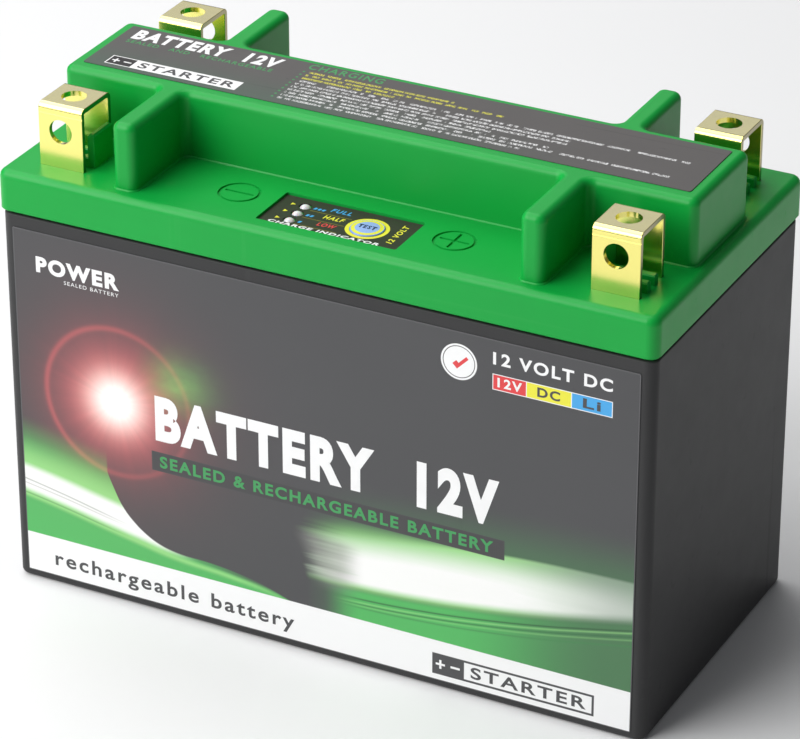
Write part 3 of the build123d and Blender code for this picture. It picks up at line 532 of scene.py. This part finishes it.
def front_label_film():
    """The printed film on the case's front: the picture, boxes, a badge and a white strip."""
    s = Surface("front_label_film", specular=0.42)
    x, z = s.x, s.z
    art = front_art(s)

    # A dark band behind the second line of lettering, and a white strip along the foot.
    art = s.mix(art, LABEL_GREY, s.panel(x, z, *LINE_BAND, 0.12))
    art = s.mix(art, scaled(LABEL_DARK, 1.5), s.panel(x, z, *LINE_BAND_INSIDE, 0.3) * 0.45)
    art = s.mix(art, WHITE, s.below(z, STRIP_TOP))

    # Three rating boxes with white edges.
    for left, right, colour in RATING_BOXES:
        art = s.mix(art, WHITE, s.panel(x, z, left, right, RATING_LOW, RATING_HIGH))
        inside = s.panel(x, z, left + RATING_EDGE, right - RATING_EDGE,
                         RATING_LOW + RATING_EDGE, RATING_HIGH - RATING_EDGE)
        art = s.mix(art, colour, inside)

    # A round badge with a tick.
    gap = s.distance(x, z, BADGE_X, BADGE_Z)
    art = s.mix(art, WHITE, s.below(gap, BADGE_RADIUS))
    art = s.mix(art, LABEL_DARK, s.band(gap, *BADGE_LINE))
    across, up = x - BADGE_X, z - BADGE_Z
    tick_short = s.panel(across + up, up - across, -2.4, -0.4, -1.4, 1.0)
    tick_long = s.panel(across + up, up - across, -2.4, 3.6, -1.4, -0.2)
    art = s.mix(art, PRINT_RED, s.maths("MAXIMUM", tick_short, tick_long))

    # A plain box in the white strip, with the two pole signs at its left end.
    art = s.mix(art, LABEL_GREY, s.panel(x, z, *FOOT_BOX))
    art = s.mix(art, WHITE, s.panel(x, z, *FOOT_BOX_INSIDE))
    art = s.mix(art, WHITE, pole_signs(s, x, z, *FOOT_POLES))

    # A thin paler line round the film's cut edge: a painted highlight where the edge catches light.
    inside = s.panel(x, z, LABEL_LOW.x / MM + FILM_INSET, LABEL_HIGH.x / MM - FILM_INSET,
                     LABEL_LOW.z / MM + FILM_INSET, LABEL_HIGH.z / MM - FILM_INSET)
    art = s.mix(FILM_EDGE_HIGHLIGHT, art, inside)
    s.paint(art)
    clear_coat(s, 0.36)
    return s.material


def top_label_film():
    """The printed film on the lid's spine, with small print that can't be read."""
    s = Surface("top_label_film", specular=0.3)
    x, y = s.x, s.y
    art = s.mix(scaled(TOP_GREY, 0.94), scaled(TOP_GREY, 1.06), s.noise(30, 3))
    shade = s.below(x + y * 0.8, 5, 110) * s.below(y, -4, 18)
    art = s.mix(art, TOP_SHADE, shade * 0.35)

    ink, row = print_rows(s, x, y, PRINT_LEFT, PRINT_TOP, PRINT_PITCH, PRINT_REACHES, 0.9)
    colour = s.mix(PRINT_YELLOW, WHITE, s.above(row, 2.5, 0.1))
    art = s.mix(art, colour, ink * 0.85)
    half = PRINT_PITCH / 2
    step = s.maths("WRAP", y - PRINT_TOP + half, -half, half)
    dots = s.below(s.distance(x, step, PRINT_DOTS, 0.0), 0.32)
    print_foot = PRINT_TOP - PRINT_PITCH * len(PRINT_REACHES)
    art = s.mix(art, PRINT_GREEN, dots * s.band(y, print_foot, PRINT_TOP))

    # A plain box with the two pole signs at its left end.
    art = s.mix(art, WHITE, s.panel(x, y, *TOP_BOX))
    art = s.mix(art, LABEL_DARK, s.panel(x, y, *TOP_BOX_BLOCK))
    art = s.mix(art, WHITE, pole_signs(s, x, y, *TOP_POLES))
    s.paint(art)
    clear_coat(s, 0.42)
    return s.material


def panel_film():
    """The indicator's face: arrows and bars for the three lamps, and the button's yellow seat."""
    s = Surface("panel_film", specular=0.3)
    x, y = s.x, s.y
    art = s.mix(PANEL_DARK, PANEL_PALE, s.noise(9, 3))
    gap = s.distance(x, y, BUTTON_CENTRE.x / MM, BUTTON_CENTRE.y / MM)
    art = s.mix(art, PRINT_YELLOW, s.below(gap, BUTTON_SEAT))
    arrow_foot, arrow_length = -15.3, 1.15
    first_bar, bar_pitch, bar_width = -9.2, 1.1, 0.7
    for number, middle in enumerate(PANEL_ROWS):
        taper = s.maths("ABSOLUTE", y - middle) * 1.9 + (x - arrow_foot)
        art = s.mix(art, PRINT_YELLOW, s.above(x, arrow_foot) * s.below(taper, arrow_length))
        leaning = x - (y - middle) * 0.25
        for step in range(number + 1):
            left = first_bar + step * bar_pitch
            bar = s.panel(leaning, y, left, left + bar_width, middle - 0.45, middle + 0.55)
            art = s.mix(art, PRINT_BLUE, bar)
        art = s.mix(art, PANEL_RULE, s.panel(x, y, -9.6, 1.6, middle - 1.45, middle - 1.28, 0.05))
    s.paint(art)
    clear_coat(s, 0.30)
    return s.material


def button_cap():
    """A printed cap: a blue rim, a yellow ring and a pale blue middle, with painted shade on its rounded
    edge.
    """
    s = Surface("button_cap", specular=0.5, coat=0.15)
    gap = s.distance(s.x, s.y, BUTTON_CENTRE.x / MM, BUTTON_CENTRE.y / MM)
    blue = s.mix(CAP_BLUE, CAP_PALE_BLUE, s.noise(2, 2))
    art = s.mix(blue, PRINT_YELLOW, s.band(gap, *CAP_RING, 0.12))
    art = s.mix(art, CAP_MIDDLE, s.below(gap, CAP_RING_INSIDE, 0.12))
    # Darker blue on the rounded edge: painted shade where the cap turns away.
    art = s.mix(art, CAP_EDGE_SHADE, s.edge(0.2) * 0.4)
    s.paint(art)
    clear_coat(s, 0.28)
    return s.material


# ---------------------------------------------------------------- metals
def rolled_metal(name, colour, roughness, along=(0.08, 1.6, 1.6), stain=BRASS_STAIN, edge_wear_and_highlight=0.2):
    """Rolled or drawn metal: fine lines along one direction, faint tarnish, and edges made brighter, partly
    as wear and partly as a painted highlight.
    """
    s = Surface(name, metallic=1.0, roughness=roughness)
    lines = s.noise(0.35, 3, along)
    cloud = s.noise(6, 4)
    tone = s.mix(colour, scaled(colour, 0.95), lines)
    tone = s.mix(tone, stain, s.ramp(cloud, 0.55, 0.85) * 0.08)
    # Brighter edges: partly worn metal, partly a painted edge highlight.
    tone = s.mix(tone, lifted(colour, factor=1.12), s.edge(0.3) * edge_wear_and_highlight)
    s.paint(tone)
    marks = s.scratches(4, 0.25)
    s.set("Roughness", lines * 0.05 + (roughness - 0.03) + s.ramp(cloud, 0.4, 0.8) * 0.04 + marks * 0.03)
    s.bump(lines, 0.0006)
    s.bump(s.noise(9, 1), 0.004)
    return s


def metal(name, colour, roughness, stain):
    return rolled_metal(name, colour, roughness, stain=stain).material


def terminal_brass():
    """Bright brass strap, with a paler painted reflection on its top and browner on its sheared sides."""
    s = rolled_metal("terminal_brass", BRASS, 0.22, (1.6, 1.6, 0.08), edge_wear_and_highlight=0.0)
    facing = s.node("SeparateXYZ")
    s.feed(facing.inputs[0], s.node("TexCoord").outputs["Normal"])
    sideways = s.above(s.maths("ABSOLUTE", Field(s, facing.outputs[0])), 0.9, 0.1)
    across = s.maths("ABSOLUTE", s.maths("ABSOLUTE", s.x) - STRAP_MIDDLE)
    sheared = sideways * s.above(across, STRAP_SIDE, 0.05)
    upward_painted_reflection = s.above(Field(s, facing.outputs[2]), 0.96, 0.04)
    tone = s.shader.inputs["Base Color"].links[0].from_socket
    # Upward faces get a paler, greyer tone: a painted reflection of the light above.
    tone = s.mix(tone, BRASS_TOP_REFLECTION, upward_painted_reflection * (0.75 + s.noise(6, 2) * 0.2))
    s.paint(s.mix(tone, BRASS_SHEARED, sheared * 0.85))
    return s.material


def pouch_foil():
    """Laminated foil: soft creases, a matt sheen and a pressed seam round the rim."""
    s = Surface("pouch_foil", metallic=0.85, roughness=0.42)
    crease = s.cells(9, "DISTANCE_TO_EDGE", (1, 1, 0.6))
    tone = s.mix(FOIL_DARK, FOIL_PALE, s.noise(12, 3))
    s.paint(tone)
    s.set("Roughness", s.noise(3, 3) * 0.22 + 0.30)
    s.bump(s.ramp(crease, 0.0, 0.12), 0.10)
    s.bump(s.noise(2.2, 3), 0.03)
    rim = s.panel(s.x, s.z, -66, 66, 13, 68, 1.0)
    s.bump(rim * s.noise(0.5, 0), 0.02)
    return s.material


# ---------------------------------------------------------------- soft and small materials
def foam(name, colour, size):
    """Closed-cell foam: cut open cells with painted shade in their hollows, dusty and matt."""
    s = Surface(name, roughness=0.95, specular=0.25)
    pits = s.cells(size)
    # Darker in the middle of each cell: painted shade in the pits.
    tone = s.mix(scaled(colour, 0.55), scaled(colour, 1.15), s.ramp(pits, 0.1, 0.6))
    s.paint(s.mix(tone, scaled(colour, 0.8), s.noise(20, 3)))
    s.bump(s.ramp(pits, 0.0, 0.7), 0.25)
    s.bump(s.noise(8, 2), 0.2)
    return s.material


def fibre_tape():
    """Filament tape: glass strands under a clear film."""
    s = Surface("fibre_tape", roughness=0.5, coat=0.3)
    strand = s.maths("SINE", s.z * 7.0) * 0.5 + 0.5
    tone = s.mix(TAPE_DARK, TAPE_PALE, strand)
    s.paint(s.mix(tone, TAPE_STAIN, s.noise(6, 3) * 0.5))
    s.bump(strand, 0.05)
    return s.material


def circuit_board():
    """Solder mask over copper tracks, with plated through holes."""
    s = Surface("circuit_board", roughness=0.35, coat=0.3)
    base = s.mix(BOARD_DARK, BOARD_GREEN, s.noise(10, 3))
    across = s.maths("WRAP", s.x, -1.6, 1.6)
    along = s.maths("WRAP", s.y, -3.5, 3.5)
    lanes = s.below(s.maths("ABSOLUTE", across), 0.28) * s.above(s.noise(9, 1), 0.47, 0.02)
    cross = s.below(s.maths("ABSOLUTE", along), 0.3) * s.above(s.noise(14, 1), 0.5, 0.02)
    tracks = s.maths("MAXIMUM", lanes, cross)
    tone = s.mix(base, BOARD_TRACK, tracks)
    hole_x = s.maths("WRAP", s.x, -4.0, 4.0)
    hole_y = s.maths("WRAP", s.y, -3.0, 3.0)
    tone = s.mix(tone, BOARD_PAD, s.below(s.distance(hole_x, hole_y, 0, 0), 0.4))
    s.paint(tone)
    s.bump(tracks, 0.035)
    return s.material


def rubber(name, colour, roughness=0.55):
    """A soft sleeve: a satin skin with fine flow lines along it and a little dust."""
    s = Surface(name, specular=0.4)
    dust = s.ramp(s.noise(3, 3), 0.5, 0.8)
    tone = s.mix(scaled(colour, 0.85), scaled(colour, 1.1), s.noise(5, 2))
    s.paint(s.mix(tone, DUST, dust * 0.12))
    s.set("Roughness", s.noise(1.4, 2) * 0.16 + (roughness - 0.08) + dust * 0.12)
    s.bump(s.noise(0.6, 2, (0.4, 1, 1)), 0.02)
    return s.material


def lamp_lens():
    """A milky dome with the darker lamp showing faintly in its middle."""
    s = Surface("lamp_lens", roughness=0.16, coat=0.4)
    middle = s.maths("WRAP", s.y - LAMP_OFFSET, -LAMP_HALF_PITCH, LAMP_HALF_PITCH)
    gap = s.distance(s.x, middle, LAMP_X, 0.0)
    tone = s.mix(LENS_DARK, LENS_PALE, s.ramp(gap, 0.3, 1.4))
    s.paint(s.mix(tone, LENS_CLOUD, s.noise(1.2, 2) * 0.4))
    s.shader.inputs["Subsurface Weight"].default_value = 0.25
    s.shader.inputs["Subsurface Scale"].default_value = 0.6 * MM
    s.bump(s.noise(0.8, 2), 0.01)
    return s.material


def chip_plastic():
    """Black moulding compound with faint marks that can't be read."""
    s = Surface("chip_plastic", roughness=0.55)
    across = s.maths("WRAP", s.x, -2.5, 2.5)
    along = s.maths("WRAP", s.y, -1.0, 1.0)
    print_marks = s.panel(across, along, -1.6, 1.6, -0.5, 0.5)
    ink = print_marks * s.above(s.noise(0.4, 1), 0.52, 0.08)
    s.paint(s.mix(CHIP_BLACK, CHIP_INK, ink * 0.8))
    s.bump(s.noise(0.12, 1), 0.008)
    return s.material


def resistor_ceramic():
    """A dark coat with specks of the pale ceramic."""
    s = Surface("resistor_ceramic", roughness=0.4)
    tone = s.mix(RESISTOR_BLACK, RESISTOR_END, s.above(s.noise(0.9, 1), 0.62, 0.05))
    s.paint(tone)
    s.bump(s.noise(0.2, 2), 0.01)
    return s.material


MATERIALS = {
    "case_plastic": case_plastic(),
    "lid_plastic": lid_plastic(),
    "sealant": rubber("sealant", (0.03, 0.03, 0.03, 1), 0.6),
    "terminal_brass": terminal_brass(),
    "copper": metal("copper", (0.93, 0.47, 0.30, 1), 0.30, (0.20, 0.08, 0.05, 1)),
    "rivet_metal": metal("rivet_metal", (0.70, 0.70, 0.70, 1), 0.32, (0.25, 0.24, 0.22, 1)),
    "front_label_film": front_label_film(),
    "top_label_film": top_label_film(),
    "panel_film": panel_film(),
    "lamp_lens": lamp_lens(),
    "button_cap": button_cap(),
    "switch_plastic": plain_plastic("switch_plastic", (0.02, 0.02, 0.02, 1)),
    "plunger_plastic": plain_plastic("plunger_plastic", (0.62, 0.60, 0.54, 1)),
    "circuit_board": circuit_board(),
    "screw_steel": metal("screw_steel", (0.66, 0.67, 0.68, 1), 0.30, (0.30, 0.27, 0.20, 1)),
    "connector_plastic": plain_plastic("connector_plastic", (0.74, 0.71, 0.62, 1), 0.4),
    "pouch_foil": pouch_foil(),
    "tab_aluminium": metal("tab_aluminium", (0.78, 0.79, 0.80, 1), 0.35, (0.4, 0.4, 0.4, 1)),
    "tab_nickel": metal("tab_nickel", (0.62, 0.60, 0.55, 1), 0.33, (0.3, 0.28, 0.2, 1)),
    "white_foam": foam("white_foam", (0.70, 0.70, 0.67, 1), 0.8),
    "fibre_tape": fibre_tape(),
    "tray_plastic": plain_plastic("tray_plastic", (0.60, 0.60, 0.57, 1)),
    "chip_plastic": chip_plastic(),
    "resistor_ceramic": resistor_ceramic(),
    "lead_black": rubber("lead_black", (0.02, 0.02, 0.02, 1)),
    "lead_red": rubber("lead_red", (0.50, 0.015, 0.012, 1)),
    "cable_sleeve": rubber("cable_sleeve", (0.06, 0.06, 0.065, 1)),
    "tinned_lug": metal("tinned_lug", (0.76, 0.76, 0.75, 1), 0.34, (0.4, 0.39, 0.36, 1)),
    "packing_foam": foam("packing_foam", (0.045, 0.045, 0.048, 1), 1.1),
}

# Each CAD node wears the material that its slot names in the record.
for entry in frame["record"]["subparts"]:
    cad = nodes[entry["node"]]
    cad.data.materials.clear()
    cad.data.materials.append(MATERIALS[entry["material_slot"]])


# ---------------------------------------------------------------- lettering
def ink_material(name, colour):
    """Screen ink: nearly flat, with a slightly uneven film."""
    s = Surface(name, roughness=0.42, specular=0.4)
    s.paint(s.mix(scaled(colour, 0.95), scaled(colour, 1.03), s.noise(5, 3)))
    s.set("Roughness", s.noise(3, 2) * 0.14 + 0.34)
    s.bump(s.noise(1.2, 2), 0.004)
    return s.material


INKS = {
    "white": ink_material("ink_white", WHITE),
    "green": ink_material("ink_green", PRINT_GREEN),
    "yellow": ink_material("ink_yellow", PRINT_YELLOW),
    "blue": ink_material("ink_blue", PRINT_BLUE),
    "red": ink_material("ink_red", PRINT_RED),
    "grey": ink_material("ink_grey", PRINT_GREY),
    "navy": ink_material("ink_navy", PRINT_NAVY),
}
FACINGS = {
    "front": Matrix.Rotation(math.radians(90), 4, "X"),
    "top": Matrix.Identity(4),
    "top_turned": Matrix.Rotation(math.radians(90), 4, "Z"),
}


def lettering(name, words, ink, facing, low, high, level, weight, body="housing", slant=0.0):
    """Flat generic words that fill the box from low to high, in millimetres on their face at that level."""
    curve = bpy.data.curves.new(name, "FONT")
    curve.body = words
    curve.size = 1.0
    curve.offset = weight
    curve.shear = slant
    curve.space_character = LETTER_SPACING
    curve.resolution_u = 6
    source = bpy.data.objects.new(name + "_source", curve)
    bpy.context.scene.collection.objects.link(source)
    bpy.context.view_layer.update()
    mesh = bpy.data.meshes.new_from_object(source.evaluated_get(bpy.context.evaluated_depsgraph_get()))
    bpy.data.objects.remove(source)

    xs = [v.co.x for v in mesh.vertices]
    ys = [v.co.y for v in mesh.vertices]
    width = (high[0] - low[0]) * MM
    height = (high[1] - low[1]) * MM
    turned = facing == "top_turned"
    if turned:
        width, height = height, width
    fit = Matrix.Diagonal((width / (max(xs) - min(xs)), height / (max(ys) - min(ys)), 1, 1))
    mesh.transform(fit @ Matrix.Translation((-min(xs), -min(ys), 0)))
    mesh.transform(FACINGS[facing])
    start = Vector((low[0] * MM, level - INK, low[1] * MM))
    if facing != "front":
        start = Vector(((high[0] if turned else low[0]) * MM, low[1] * MM, level + INK))
    mesh.transform(Matrix.Translation(start))

    piece = bpy.data.objects.new(name, mesh)
    bpy.context.scene.collection.objects.link(piece)
    mesh.shade_flat()
    mesh.materials.clear()
    mesh.materials.append(INKS[ink])
    solid = piece.modifiers.new("ink", "SOLIDIFY")
    solid.thickness = INK * 0.8
    solid.offset = -1.0
    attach(piece, body)


# Name, words, ink, low and high corner of the box, and how much bolder than the font.
FRONT_WORDS = [
    ("front_title", "BATTERY  12V", "white", (-45, 49.2), (48.4, 61.9), 0.055),
    ("front_line", "SEALED & RECHARGEABLE BATTERY", "green", (-44, 41.8), (47, 45.1), 0.03),
    ("front_volts", "12 VOLT DC", "white", (46.4, 92.5), (76.8, 95.8), 0.03),
    ("front_foot", "rechargeable battery", "grey", (-75.6, 4.2), (-7, 9.6), 0.018),
    ("front_sign", "POWER", "white", (-77.4, 88.0), (-54.0, 92.4), 0.05),
    ("front_sign_line", "SEALED BATTERY", "white", (-69.6, 86.3), (-54.2, 87.3), 0.0),
    ("front_block", "STARTER", "grey", (41.4, 5.3), (72.0, 8.6), 0.02),
    ("front_box_volts", "12V", "white", (47.6, 86.8), (53.9, 89.3), 0.03),
    ("front_box_current", "DC", "grey", (57.8, 86.8), (63.6, 89.3), 0.03),
    ("front_box_kind", "Li", "grey", (69.4, 86.8), (73.9, 89.3), 0.03),
]
for name, words, ink, low, high, weight in FRONT_WORDS:
    lettering(name, words, ink, "front", low, high, FRONT_FACE, weight)

TOP_WORDS = [
    ("top_title", "BATTERY  12V", "white", (-78.0, 5.6), (-37.0, 11.3), 0.05),
    ("top_line", "SEALED   AND   RECHARGEABLE", "green", (-78.0, 3.2), (-37.0, 4.9), 0.01),
    ("top_heading", "CHARGING", "green", (-30.0, 9.1), (-9.6, 12.0), 0.015),
    ("top_block", "STARTER", "grey", (-67.6, -9.2), (-41.0, -6.1), 0.02),
]
for name, words, ink, low, high, weight in TOP_WORDS:
    lettering(name, words, ink, "top", low, high, TOP_FACE, weight)

PANEL_SLANT = 0.15
PANEL_WORDS = [
    ("panel_full", "FULL", "blue", "top", (-5.0, -26.2), (0.4, -24.4), 0.03),
    ("panel_half", "HALF", "yellow", "top", (-5.0, -30.2), (0.4, -28.4), 0.03),
    ("panel_low", "LOW", "red", "top", (-4.6, -34.2), (0.2, -32.4), 0.03),
    ("panel_title", "CHARGE INDICATOR", "white", "top", (-16.0, -37.35), (13.4, -36.1), 0.04),
    ("panel_side", "12 VOLT", "yellow", "top_turned", (14.2, -35.0), (15.8, -25.0), 0.03),
]
for name, words, ink, facing, low, high, weight in PANEL_WORDS:
    lettering(name, words, ink, facing, low, high, PANEL_FACE, weight, slant=PANEL_SLANT)

centre_x, centre_y = BUTTON_CENTRE.x / MM, BUTTON_CENTRE.y / MM
half_width, half_height = 2.3, 0.85
lettering("button_word", "TEST", "navy", "top", (centre_x - half_width, centre_y - half_height),
          (centre_x + half_width, centre_y + half_height), BUTTON_HIGH.z, 0.03, "button")


# ---------------------------------------------------------------- floor, light and camera
PART_MIDDLE = Vector((0, 0, 0.07))
# Name, place, width and depth in metres, and power in watts.
LIGHTS = (
    ("key", (-0.85, -1.00, 0.95), (1.4, 1.2), 24.5),
    ("top", (-0.55, 0.15, 1.25), (1.3, 1.2), 12.5),
    ("back_left", (-0.60, 1.19, 0.78), (0.9, 0.6), 1.1),
)
SKY, SKY_STRENGTH = (0.94, 0.96, 1.0, 1), 0.13
FLOOR_DARK, FLOOR_PALE = (0.88, 0.88, 0.885, 1), (0.90, 0.90, 0.90, 1)


def floor():
    """A plain pale sheet just under the part. It is scenery, not a piece."""
    mesh = bpy.data.meshes.new("floor")
    shape = bmesh.new()
    bmesh.ops.create_grid(shape, x_segments=4, y_segments=4, size=6.0)
    shape.to_mesh(mesh)
    shape.free()
    plane = bpy.data.objects.new("floor", mesh)
    plane.location.z = cad_low.z - FLOOR_GAP
    bpy.context.scene.collection.objects.link(plane)
    s = Surface("floor_paper", roughness=0.8, specular=0.2)
    s.paint(s.mix(FLOOR_DARK, FLOOR_PALE, s.noise(300, 2)))
    mesh.materials.append(s.material)


def area_light(name, place, size, power):
    """A soft white light at place, turned to the part's middle."""
    light = bpy.data.lights.new(name, "AREA")
    light.shape = "RECTANGLE"
    light.size, light.size_y = size
    light.energy = power
    lamp = bpy.data.objects.new(name, light)
    lamp.location = place
    lamp.rotation_euler = (PART_MIDDLE - Vector(place)).to_track_quat("-Z", "Y").to_euler()
    bpy.context.scene.collection.objects.link(lamp)


def studio_world():
    world = bpy.data.worlds.new("studio")
    world.use_nodes = True
    background = world.node_tree.nodes["Background"]
    background.inputs["Color"].default_value = SKY
    background.inputs["Strength"].default_value = SKY_STRENGTH
    bpy.context.scene.world = world


def camera():
    data = bpy.data.cameras.new("camera")
    data.lens = CAMERA_LENS
    data.sensor_width = 36.0
    data.clip_start, data.clip_end = 0.05, 50.0
    eye = bpy.data.objects.new("camera", data)
    back = Vector((math.sin(AZIMUTH) * math.cos(ELEVATION),
                   -math.cos(AZIMUTH) * math.cos(ELEVATION), math.sin(ELEVATION)))
    eye.location = CAMERA_TARGET + back * CAMERA_DISTANCE
    eye.rotation_euler = (-back).to_track_quat("-Z", "Y").to_euler()
    bpy.context.scene.collection.objects.link(eye)
    bpy.context.scene.camera = eye


floor()
for name, place, size, power in LIGHTS:
    area_light(name, place, size, power)
studio_world()
bpy.context.scene.view_settings.view_transform = "Standard"
camera()
